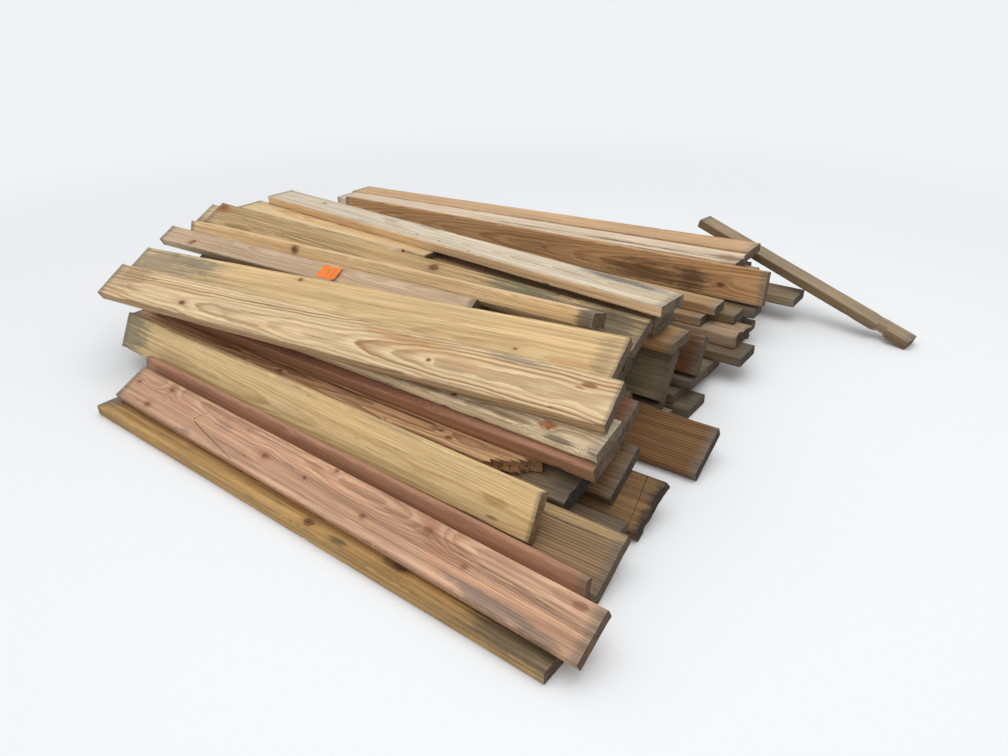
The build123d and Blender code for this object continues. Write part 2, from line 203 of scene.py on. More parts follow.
class Bar:
    """The mesh of one board: a rounded bar with worn edges and ends, never outside the sawn size"""

    def __init__(self, size, seed, look, fine):
        self.length, self.width, self.thick = size
        self.seed = seed
        self.look = {**SHAPE, **look}
        self.lay_out(*(FINE_MESH if fine else COARSE_MESH))
        self.roughen()
        self.nick()
        self.take_wane_and_bites()
        self.wear_ends()

    def noise(self, layer, a, b, c):
        seed, scales = LAYERS[layer]
        return noise(np.stack(np.broadcast_arrays(a, b, c), -1) * scales, self.seed + seed)

    def lay_out(self, step, flats_wide, flats_thick):
        """The section, arcs round the corners and flats between them, at each step of the length"""
        length, width, thick = self.length, self.width, self.thick
        flats_wide = flats_wide if width > NARROW_WIDTH else NARROW_FLATS
        order = []
        for index, (side, face) in enumerate(CORNERS):
            start = index * math.pi / 2
            for k in range(ARC_STEPS + 1):
                order.append((index, start + k / ARC_STEPS * math.pi / 2, 0.0))
            flats = flats_wide if face == CORNERS[(index + 1) % 4][1] else flats_thick
            for k in range(1, flats):
                order.append((index, start + math.pi / 2, k / flats))
        self.count = max(LEAST_STEPS, int(length / step))
        self.ring = len(order)
        x = np.linspace(-length / 2, length / 2, self.count + 1)
        worn = 0.88 + 0.8 * self.noise("edges", x[:, None], np.arange(4), 0)
        radius = np.minimum(EDGE_ROUND * worn, min(width, thick) * 0.45)

        def on_arc(index, angle):
            side, face = CORNERS[index % 4]
            r = radius[:, index % 4]
            return (side * (width / 2 - r) + r * math.cos(angle),
                    face * (thick / 2 - r) + r * math.sin(angle))

        self.x = np.repeat(x[:, None], self.ring, 1)
        self.y, self.z = np.empty(self.x.shape), np.empty(self.x.shape)
        for j, (index, angle, share) in enumerate(order):
            y, z = on_arc(index, angle)
            next_y, next_z = on_arc(index + 1, angle)
            self.y[:, j] = y + (next_y - y) * share
            self.z[:, j] = z + (next_z - z) * share

    def roughen(self):
        """Rough sawing and dents in the faces, inwards only"""
        sawing = self.noise("sawing", self.x, self.y, self.z)
        dents = self.noise("dents", self.x, self.y, self.z)
        inward = self.look["rough"] * (sawing * 0.6 + dents * 0.4)
        on_wide = self.thick / 2 - np.abs(self.z) < self.width / 2 - np.abs(self.y)
        self.z = np.where(on_wide, self.z - np.sign(self.z) * inward, self.z)
        self.y = np.where(on_wide, self.y, self.y - np.sign(self.y) * inward)

    def cut_edge(self, side, face, depth):
        """Flatten one of the four long edges"""
        from_edge = (self.width / 2 - side * self.y) + (self.thick / 2 - face * self.z)
        push = np.clip(depth - from_edge, 0, None) / 2
        self.y, self.z = self.y - side * push, self.z - face * push

    def nick(self):
        """Small nicks along the long edges"""
        rng = np.random.default_rng(self.seed)
        for _ in range(int(NICKS_A_METRE * self.length)):
            side, face = CORNERS[rng.integers(4)]
            at = rng.uniform(-self.length / 2, self.length / 2)
            reach, depth = rng.uniform(*NICK_REACH), rng.uniform(*NICK_DEPTH)
            self.cut_edge(side, face, depth * 1.6 * np.exp(-((self.x - at) / reach) ** 2))

    def take_wane_and_bites(self):
        """Wane is (side, face, from, to, depth), and a bite is (side, place, half length, depth)"""
        for side, face, start, end, depth in self.look["wane"]:
            cut = depth * ramp(self.x, start, start + WANE_FADE) * (1 - ramp(self.x, end - WANE_FADE, end))
            self.cut_edge(side, face, cut * (0.55 + 0.6 * self.noise("bark", self.x, 0, 3)))
        for side, at, half, depth in self.look["bites"]:
            cut = depth * (1 - ramp(np.abs(self.x - at), half * 0.5, half))
            self.y = self.y - side * np.clip(cut - (self.width / 2 - side * self.y), 0, None)

    def set_back(self, side, y, z):
        """How far each point of the section stands back. A worn end is (kind, side, depth)"""
        depth = CUT_DEPTH * self.noise("cut", y, z, side)
        depth = depth + UNEVEN_DEPTH * self.noise("uneven", y, z, 9 + side)
        for kind, at, most in self.look["ends"]:
            if at == side and kind == "splinter":
                share = (y + self.width / 2) / self.width
                lost = np.interp(share, np.linspace(0, 1, len(SLIVERS)), SLIVERS)
                lost = lost + 0.1 * self.noise("slivers", y, z, 0)
                depth = depth + most * np.clip(lost, 0, 1)
            elif at == side and kind == "rot":
                eaten = 0.7 * self.noise("rot", y, z, 4) + 0.3 * self.noise("fine_rot", y, z, 4)
                depth = depth + most * eaten
        return depth

    def wear_ends(self):
        """Push the last stretch of each end back to its worn end"""
        deepest = max([most for _, _, most in self.look["ends"]] + [0.0])
        span = min(0.45 * self.length, max(LEAST_END_SPAN, 2.2 * deepest))
        for side in (-1, 1):
            share = np.clip((side * self.x - (self.length / 2 - span)) / span, 0, 1)
            self.x = self.x - side * share ** 1.5 * self.set_back(side, self.y, self.z)

    def tube(self):
        """The faces along the length"""
        ring = self.ring
        for a in range(0, self.count * ring, ring):
            for j in range(ring):
                k = (j + 1) % ring
                yield (a + j, a + ring + j, a + ring + k, a + k)

    def cap(self, side, row, first):
        """An end face, in rings that close on a line along its middle: its points and its faces"""
        y, z = self.y[row], self.z[row]
        room = (self.width - self.thick) / 2
        spine = np.clip(y, -room, room) if room > 0 else y * 0
        rings, faces = [], []
        for share in CAP_SHARES:
            ring_y, ring_z = spine + (y - spine) * share, z * share
            depth = self.set_back(side, ring_y, ring_z)
            depth = depth + CAP_DEPTH * self.noise("caps", ring_y, ring_z, side)
            ring_x = side * (self.length / 2 - depth) if share < 1 else self.x[row]
            rings.append(np.stack([ring_x, ring_y, ring_z], -1))
        for level in range(len(CAP_SHARES) - 1):
            a = first + level * self.ring
            b = a + self.ring
            for j in range(self.ring):
                k = (j + 1) % self.ring
                face = (a + j, a + k, b + k, b + j)
                faces.append(face if side > 0 else face[::-1])
        return rings, faces

    def build(self, name):
        """The mesh itself, with the end faces in a second material slot"""
        points = [np.stack([self.x, self.y, self.z], -1).reshape(-1, 3)]
        faces = list(self.tube())
        slots = [0] * len(faces)
        for side, row in ((-1, 0), (1, self.count)):
            rings, cap_faces = self.cap(side, row, sum(map(len, points)))
            points += rings
            faces += cap_faces
            slots += [1] * len(cap_faces)
        half = np.array([self.length, self.width, self.thick]) / 2
        mesh = bpy.data.meshes.new(name)
        mesh.from_pydata(np.clip(np.concatenate(points), -half, half).tolist(), [], faces)
        mesh.polygons.foreach_set("material_index", slots)
        mesh.polygons.foreach_set("use_smooth", [True] * len(faces))
        mesh.validate()
        return mesh


def tone(red, green, blue):
    """A colour as it would be picked on a screen"""
    def linear(level):
        level = level / 255
        return level / 12.92 if level <= 0.04045 else ((level + 0.055) / 1.055) ** 2.4
    return (linear(red), linear(green), linear(blue), 1.0)


class Nodes:
    """A material whose shader nodes are written as sums"""

    def __init__(self, name):
        self.material = bpy.data.materials.new(name)
        self.material.use_nodes = True
        self.tree = self.material.node_tree
        self.tree.nodes.clear()
        self.out = self.tree.nodes.new("ShaderNodeOutputMaterial")
        self.shader = self.tree.nodes.new("ShaderNodeBsdfPrincipled")
        self.tree.links.new(self.shader.outputs[0], self.out.inputs[0])

    def put(self, socket, value):
        if isinstance(value, bpy.types.NodeSocket):
            self.tree.links.new(value, socket)
        else:
            socket.default_value = value

    def math(self, kind, a, b=None, c=None):
        node = self.tree.nodes.new("ShaderNodeMath")
        node.operation = kind
        for index, value in enumerate((a, b, c)):
            if value is not None:
                self.put(node.inputs[index], value)
        return node.outputs[0]

    def add(self, a, b):
        return self.math("ADD", a, b)

    def sub(self, a, b):
        return self.math("SUBTRACT", a, b)

    def mul(self, a, b):
        return self.math("MULTIPLY", a, b)

    def size_of(self, a):
        return self.math("ABSOLUTE", a)

    def around(self, a, swing):
        """A noise from 0 to 1 turned into a swing about 0"""
        return self.mul(self.sub(a, 0.5), swing)

    def vector(self, kind, a, b=None):
        node = self.tree.nodes.new("ShaderNodeVectorMath")
        node.operation = kind
        self.put(node.inputs[0], a)
        if b is not None:
            self.put(node.inputs[1], b)
        return node.outputs["Value" if kind == "LENGTH" else "Vector"]

    def scaled(self, where, scale, shift=(0, 0, 0)):
        return self.vector("MULTIPLY", self.vector("ADD", where, shift), scale)

    def board_place(self, lie):
        """The place in a board's own axes"""
        node = self.tree.nodes.new("ShaderNodeMapping")
        node.vector_type = "TEXTURE"
        place, turn, _ = lie.matrix().decompose()
        node.inputs["Location"].default_value = place
        node.inputs["Rotation"].default_value = turn.to_euler()
        coordinates = self.tree.nodes.new("ShaderNodeTexCoord")
        self.tree.links.new(coordinates.outputs["Object"], node.inputs["Vector"])
        return node.outputs[0]

    def apart(self, where):
        node = self.tree.nodes.new("ShaderNodeSeparateXYZ")
        self.put(node.inputs[0], where)
        return node.outputs

    def noise(self, where, scale=1.0, detail=2.0, rough=0.5):
        node = self.tree.nodes.new("ShaderNodeTexNoise")
        self.put(node.inputs["Vector"], where)
        node.inputs["Scale"].default_value = scale
        node.inputs["Detail"].default_value = detail
        node.inputs["Roughness"].default_value = rough
        return node.outputs["Fac"]

    def step(self, value, low, high, to_low=0.0, to_high=1.0):
        """A smooth step from one value, at low, to another, at high"""
        node = self.tree.nodes.new("ShaderNodeMapRange")
        node.interpolation_type = "SMOOTHSTEP"
        self.put(node.inputs["Value"], value)
        self.put(node.inputs["From Min"], low)
        self.put(node.inputs["From Max"], high)
        node.inputs["To Min"].default_value = to_low
        node.inputs["To Max"].default_value = to_high
        return node.outputs["Result"]

    def mix(self, share, a, b, kind="MIX"):
        node = self.tree.nodes.new("ShaderNodeMix")
        node.data_type = "RGBA"
        node.blend_type = kind
        self.put(node.inputs[0], share)
        self.put(node.inputs[6], a)
        self.put(node.inputs[7], b)
        return node.outputs[2]

    def finish(self, colour, rough, height, strength, depth):
        """Put the colour, the roughness and a bump on the shader"""
        bump = self.tree.nodes.new("ShaderNodeBump")
        bump.inputs["Strength"].default_value = strength
        bump.inputs["Distance"].default_value = depth
        self.put(bump.inputs["Height"], height)
        self.put(self.shader.inputs["Base Color"], colour)
        self.put(self.shader.inputs["Roughness"], rough)
        self.put(self.shader.inputs["Normal"], bump.outputs[0])


# Paints of the marks
SOOT = tone(70, 62, 52)
MOSS = tone(112, 106, 84)
ASH = tone(128, 118, 102)
RUST = tone(176, 112, 62)
RESIN = tone(138, 72, 44)
UMBER = tone(104, 78, 52)

# Colours that every wood has
KNOT_HEART = tone(78, 50, 34)
KNOT_CRACK = tone(54, 36, 27)
AGED_GRAIN = tone(86, 74, 60)
MARKED_GRAIN = tone(60, 48, 38)
SPLIT_DARK = tone(46, 32, 23)
CHECK_DARK = tone(74, 54, 38)
MOULD = tone(52, 44, 36)
DIRT = tone(104, 86, 66)
END_DIRT = tone(58, 50, 42)
END_CRACK = tone(34, 28, 24)

# What a wood has unless its look says otherwise. The lengths: rings is from ring to ring, pith is
# where their middle lies across and under the board, swing and wobble are how far they wander, and
# grey_right is how far grey comes in from the right end. The other numbers are shares
WOOD = dict(
    rings=0.0042, pith=None, swing=0.05, taper=0.012, wobble=0.006, contrast=0.7, bands=0.5,
    fibre=0.9, streak=1.3, relief=0.55, on_side=False, knots=(), bend=0.7, knot_power=0.8,
    knot=tone(118, 76, 48), knot_rim=tone(150, 106, 70), grey=0.15, grey_right=0.045,
    grey_tone=tone(132, 120, 102), marks=(), splits=(), mould=0.2, flecks=None, dirt=0.35,
    # The narrow sides' share and tone are painted light and shade, lighter or darker than the faces
    edge=0.4, edge_tone=tone(104, 84, 60), sides=0.0, side_tone=tone(110, 86, 58),
    end_tone=tone(84, 69, 54))
GREY_LEFT = 0.045
SHINE = 0.25

# The bump's depth, and how deep cracks are cut in shares of it
BUMP_DEPTH = 0.0012
KNOT_CUT = 0.9
SPLIT_CUT = 2.0
CHECK_CUT = 0.9
END_CUT = 1.2

# The wood's noises: which of two shifts each takes, its scales along, across and through the
# board, its detail and its roughness
PATTERNS = {
    "wander": (0, (1.3, 0.06, 0.06), 2.0, 0.5),
    "sink": (1, (1.7, 0.06, 0.06), 2.0, 0.5),
    "wobble": (0, (6, 16, 16), 3.0, 0.55),
    "blot": (1, (4, 20, 20), 4.0, 0.64),
    "fine_blot": (0, (30, 110, 110), 3.0, 0.62),
    "tonal": (1, (1.4, 7, 7), 3.0, 0.55),
    "fibre": (0, (9, 620, 620), 3.0, 0.7),
    "streak": (0, (1.7, 95, 95), 4.0, 0.62),
    "end_fibre": (0, (40, 420, 420), 3.0, 0.6),
    "end_streak": (0, (10, 60, 90), 3.0, 0.6),
    "check": (1, (3.2, 150, 150), 1.0, 0.5),
    "dried": (0, (1.8, 14, 14), 3.0, 0.6),
    "speck": (0, (160, 260, 260), 2.0, 0.5),
    "torn": (1, (75, 300, 300), 2.0, 0.6),
    "smear": (1, (9, 34, 34), 4.0, 0.66),
    "end_crack": (0, (30, 150, 26), 2.0, 0.5),
}


class Wood(Nodes):
    """Sawn wood in a board's own axes: rings about a far pith line, fibres, knots and weather"""

    def __init__(self, name, look, lie, seed, end):
        super().__init__(name)
        self.look = {**WOOD, **look}
        self.length, self.width, self.thick = lie.size
        self.where = self.board_place(lie)
        self.x, self.y, self.z = self.apart(self.where)
        rng = np.random.default_rng(seed * 7 + 3)
        self.shifts = [tuple(rng.uniform(-20, 20, 3)) for _ in range(2)]
        drawn_pith = (0.35 * self.width * rng.uniform(-1, 1), -0.05 - 0.04 * rng.random())
        self.pith = self.look["pith"] or drawn_pith
        self.taper = self.look["taper"] * (1 if rng.random() < 0.5 else -1)
        self.make_patterns(end)
        self.measure_rings()
        self.find_knots()
        self.grow()
        if self.look["knots"]:
            self.paint_knots()
        self.weather()
        self.mark()
        self.split()
        self.dry()
        self.soil()
        self.wear_edges()
        if end:
            self.saw_end()
        self.shader.inputs["Specular IOR Level"].default_value = SHINE
        height = self.add(self.height, self.mul(self.cloud, 0.5))
        self.finish(self.colour, self.rough, height, self.look["relief"], BUMP_DEPTH)

    def pattern(self, name):
        """One of the wood's noises, in the board's own axes"""
        shift, scales, detail, rough = PATTERNS[name]
        return self.noise(self.scaled(self.where, scales, self.shifts[shift]), 1.0, detail, rough)

    def about_one(self, pattern, swing):
        """A noise from 0 to 1 turned into a factor about 1"""
        return self.math("MULTIPLY_ADD", pattern, swing, 1 - swing / 2)

    def away_from(self, x, y, half_length, half_width):
        """How far a point is from a spot on the face, or on the side, in shares of its size"""
        scale = (1 / half_length, 1 / half_width, 0.0)
        if self.look["on_side"]:
            scale = (1 / half_length, 0.0, 1 / half_width)
        return self.vector("LENGTH", self.scaled(self.where, scale, (-x, -y, -y)))

    def shaded(self, colour):
        return self.mix(1.0, colour, self.shade, "MULTIPLY")

    def paint(self, mask, colour):
        self.colour = self.mix(mask, self.colour, colour)

    def dig(self, mask, depth):
        self.height = self.sub(self.height, self.mul(mask, depth))

    def make_patterns(self, end):
        """The noises that several steps share"""
        self.wobble = self.pattern("wobble")
        self.blot = self.pattern("blot")
        self.fine_blot = self.pattern("fine_blot")
        self.cloud = self.add(self.mul(self.blot, 0.66), self.mul(self.fine_blot, 0.34))
        self.tonal = self.pattern("tonal")
        self.fibre = self.pattern("end_fibre" if end else "fibre")
        self.streak = self.pattern("end_streak" if end else "streak")

    def measure_rings(self):
        """Each point's distance from a pith line that wanders beside or under the board"""
        swing = self.look["swing"]
        wander, sink = self.pattern("wander"), self.pattern("sink")
        out_y = self.add(self.sub(self.y, self.pith[0]), self.around(wander, swing))
        out_z = self.add(self.sub(self.z, self.pith[1]), self.around(sink, swing * 0.6))
        radius = self.math("SQRT", self.add(self.mul(out_y, out_y), self.mul(out_z, out_z)))
        radius = self.add(radius, self.mul(self.x, self.taper))
        self.radius = self.add(radius, self.around(self.wobble, self.look["wobble"]))

    def find_knots(self):
        """Knots: (x, y, half width). The nearest one counts, and the rings bend round each"""
        self.nearest = None
        for x, y, half in self.look["knots"]:
            away = self.away_from(x, y, half * 1.5, half)
            away = self.add(away, self.around(self.fine_blot, 1.5))
            bulge = self.mul(self.step(away, 6.0, 0.0), half * self.look["bend"])
            self.radius = self.add(self.radius, bulge)
            self.nearest = away if self.nearest is None else self.math("MINIMUM", self.nearest, away)

    def grow(self):
        """Early and late wood, fibres and streaks"""
        look = self.look
        phase = self.math("FRACT", self.mul(self.radius, 1 / look["rings"]))
        late = self.mul(self.step(phase, 0.15, 0.85), self.step(phase, 1.0, 0.9))
        band = self.tree.nodes.new("ShaderNodeCombineXYZ")
        self.put(band.inputs[0], self.mul(self.radius, 55.0))
        self.put(band.inputs[1], self.math("MULTIPLY_ADD", self.x, 0.35, self.shifts[0][0]))
        season = self.noise(band.outputs[0], 1.0, 3.0, 0.6)
        self.grain = self.mul(late, self.step(season, 0.3, 0.68, 0.25, 1.0))
        self.colour = self.mix(self.mul(self.grain, look["contrast"]), look["light"], look["dark"])
        self.paint(self.mul(self.step(season, 0.42, 0.72), look["bands"]), look["warm"])
        self.paint(self.mul(self.step(self.tonal, 0.48, 0.75), 0.5), look["warm"])
        fibres = self.about_one(self.fibre, look["fibre"])
        streaks = self.about_one(self.streak, look["streak"])
        self.shade = self.mul(self.mul(fibres, streaks), self.about_one(self.tonal, 0.5))
        self.colour = self.shaded(self.colour)
        self.height = self.add(self.mul(self.fibre, 0.6), self.mul(late, 0.3))
        self.rough = self.math("MULTIPLY_ADD", self.streak, 0.2, 0.62)

    def paint_knots(self):
        """A ringed core in each knot, a rim round it, and black cracks and outlines"""
        look, near = self.look, self.nearest
        rings = self.math("FRACT", self.mul(near, 3.4))
        core = self.mix(self.mul(rings, 0.6), look["knot"], KNOT_HEART)
        self.paint(self.mul(self.step(near, 3.0, 0.8), 0.45), look["knot_rim"])
        self.paint(self.mul(self.step(near, 1.2, 0.7), look["knot_power"]), core)
        crack = self.mul(self.step(near, 0.62, 0.3), self.step(self.fine_blot, 0.44, 0.54))
        outline = self.step(self.size_of(self.sub(near, 1.05)), 0.25, 0.03)
        outline = self.mul(outline, self.step(self.blot, 0.42, 0.6))
        black = self.math("MAXIMUM", crack, self.mul(outline, 0.8))
        self.paint(self.mul(black, look["knot_power"]), KNOT_CRACK)
        self.dig(black, KNOT_CUT)

    def weather(self):
        """Grey in patches, and at the ends"""
        grey = self.look["grey"]
        mottle = self.add(self.cloud, self.around(self.streak, 0.35))
        mask = self.step(mottle, 0.70 - 0.42 * grey, 0.82 - 0.26 * grey)
        mask = self.mul(mask, min(0.9, 0.4 + 0.6 * grey))
        for side, reach in ((-1.0, GREY_LEFT), (1.0, self.look["grey_right"])):
            end = self.length / 2
            near = self.step(self.mul(self.x, side), end - reach, end - reach * 0.15)
            near = self.mul(near, self.step(self.add(self.cloud, self.mul(near, 0.3)), 0.42, 0.68))
            mask = self.math("MAXIMUM", mask, self.mul(near, 0.7))
        aged = self.mix(self.mul(self.grain, 0.5), self.shaded(self.look["grey_tone"]), AGED_GRAIN)
        self.paint(mask, aged)

    def mark(self):
        """Stains: (x, y, half length, half width, colour, strength)"""
        for x, y, half_length, half_width, colour, power in self.look["marks"]:
            ragged = self.add(self.around(self.cloud, 2.6), self.around(self.streak, 1.6))
            away = self.add(self.away_from(x, y, half_length, half_width), ragged)
            stained = self.mix(self.mul(self.grain, 0.3), self.shaded(colour), MARKED_GRAIN)
            self.paint(self.mul(self.step(away, 1.15, 0.4), power), stained)

    def split(self):
        """Splits and saw lines: (from x, from y, to x, to y, half width)"""
        for x0, y0, x1, y1, half in self.look["splits"]:
            run, rise = x1 - x0, y1 - y0
            squared = run * run + rise * rise
            reach = math.sqrt(squared)
            dx, dy = self.sub(self.x, x0), self.sub(self.y, y0)
            share = self.add(self.mul(dx, run / squared), self.mul(dy, rise / squared))
            inside = self.mul(self.step(share, -0.01, 0.01), self.step(share, 1.0, 0.97))
            off = self.sub(self.mul(dy, run / reach), self.mul(dx, rise / reach))
            off = self.size_of(self.add(off, self.around(self.wobble, 0.006)))
            open_by = self.math("MULTIPLY_ADD", share, -half * 0.6, half)
            mask = self.mul(inside, self.step(self.sub(off, open_by), 0.0007, -0.0004))
            self.paint(self.mul(mask, 0.85), SPLIT_DARK)
            self.dig(mask, SPLIT_CUT)

    def dry(self):
        """Drying checks: short dark lines along the grain"""
        line = self.step(self.size_of(self.sub(self.pattern("check"), 0.5)), 0.022, 0.004)
        line = self.mul(line, self.step(self.pattern("dried"), 0.552, 0.66))
        self.paint(self.mul(line, 0.53), CHECK_DARK)
        self.dig(line, CHECK_CUT)

    def soil(self):
        """Specks of mould, torn fibres and smears of dirt"""
        mould, flecks = self.look["mould"], self.look["flecks"]
        specks = self.step(self.pattern("speck"), 0.64, 0.72)
        mask = self.mul(specks, self.step(self.cloud, 0.60 - 0.2 * mould, 0.74 - 0.2 * mould))
        self.paint(self.mul(mask, min(0.8, 0.3 + mould)), MOULD)
        if flecks:
            torn = self.step(self.pattern("torn"), 0.54, 0.64)
            self.paint(self.mul(torn, 0.75), flecks)
        smears = self.step(self.pattern("smear"), 0.56, 0.78)
        self.paint(self.mul(smears, self.look["dirt"]), self.shaded(DIRT))

    def wear_edges(self):
        """Dirt along the edges, and painted light and shade on each narrow side: a tone of its own,
        lighter or darker than the faces for how the light falls there
        """
        look = self.look
        in_y = self.sub(self.width / 2, self.size_of(self.y))
        in_z = self.sub(self.thick / 2, self.size_of(self.z))
        corner = self.add(self.add(in_y, in_z), self.around(self.cloud, 0.03))
        self.paint(self.mul(self.step(corner, 0.008, 0.0005), look["edge"]), look["edge_tone"])
        # Painted light and shade: each narrow side takes a tone lighter or darker than the faces for how
        # the light falls on it
        if look["sides"]:
            side_lighting_mask = self.step(self.sub(in_y, in_z), 0.001, -0.001)
            self.paint(self.mul(side_lighting_mask, look["sides"]), self.shaded(look["side_tone"]))

    def saw_end(self):
        """End grain: darker and dirty, with saw marks and cracks"""
        stroke = self.math("MULTIPLY_ADD", self.y, 1100.0, self.mul(self.streak, 14.0))
        self.height = self.add(self.mul(self.height, 0.6), self.mul(self.math("SINE", stroke), 0.15))
        crack = self.step(self.size_of(self.sub(self.pattern("end_crack"), 0.5)), 0.018, 0.004)
        self.paint(0.84, self.shaded(self.look["end_tone"]))
        self.paint(self.mul(self.step(self.cloud, 0.45, 0.68), 0.5), END_DIRT)
        self.paint(self.mul(crack, 0.6), END_CRACK)
        self.dig(crack, END_CUT)
        self.rough = self.math("MULTIPLY_ADD", self.streak, 0.15, 0.8)


def like(base, **changes):
    return {**base, **changes}


# Looks shared by several boards
YELLOW = dict(
    light=tone(222, 190, 142), dark=tone(172, 128, 82), warm=tone(204, 162, 108), rings=0.0062,
    contrast=0.8, taper=0.03, grey=0.1, grey_right=0.02)
TAN = dict(
    light=tone(204, 178, 142), dark=tone(160, 126, 88), warm=tone(186, 150, 108), rings=0.0045,
    contrast=0.6, taper=0.016, grey=0.3, grey_tone=tone(152, 140, 122))
PINKISH = dict(
    light=tone(195, 156, 132), dark=tone(163, 115, 90), warm=tone(185, 142, 110), rings=0.0036,
    contrast=0.85, taper=0.008, grey=0.04, knot=tone(136, 84, 60), knot_rim=tone(160, 106, 80),
    knot_power=0.6, bend=0.5, streak=1.0, end_tone=tone(88, 64, 48))
BROWN = dict(
    light=tone(160, 130, 94), dark=tone(112, 84, 56), warm=tone(150, 112, 70), rings=0.0048,
    contrast=0.75, grey=0.35, grey_tone=tone(118, 108, 94), mould=0.45, dirt=0.5)
REDDISH = dict(
    light=tone(170, 122, 92), dark=tone(104, 66, 48), warm=tone(140, 92, 66), contrast=0.85,
    grey=0.25, grey_tone=tone(128, 110, 94), rough=0.0018, relief=0.9, fibre=0.5,
    mould=0.4, dirt=0.5)
DARK = dict(
    light=tone(122, 104, 84), dark=tone(78, 64, 50), warm=tone(104, 86, 66), rings=0.004, contrast=0.8,
    grey=0.5, grey_tone=tone(98, 92, 82), mould=0.7, rough=0.0015, relief=0.8, dirt=0.6)
ORANGE = dict(
    light=tone(197, 155, 109), dark=tone(140, 94, 56), warm=tone(178, 130, 83), rings=0.0075,
    contrast=0.9, taper=0.03, grey=0.12)
GREYED = dict(
    light=tone(176, 158, 130), dark=tone(126, 104, 78), warm=tone(152, 130, 100), rings=0.0045,
    contrast=0.65, grey=0.5, grey_tone=tone(144, 136, 120), mould=0.6, relief=0.7, dirt=0.55)

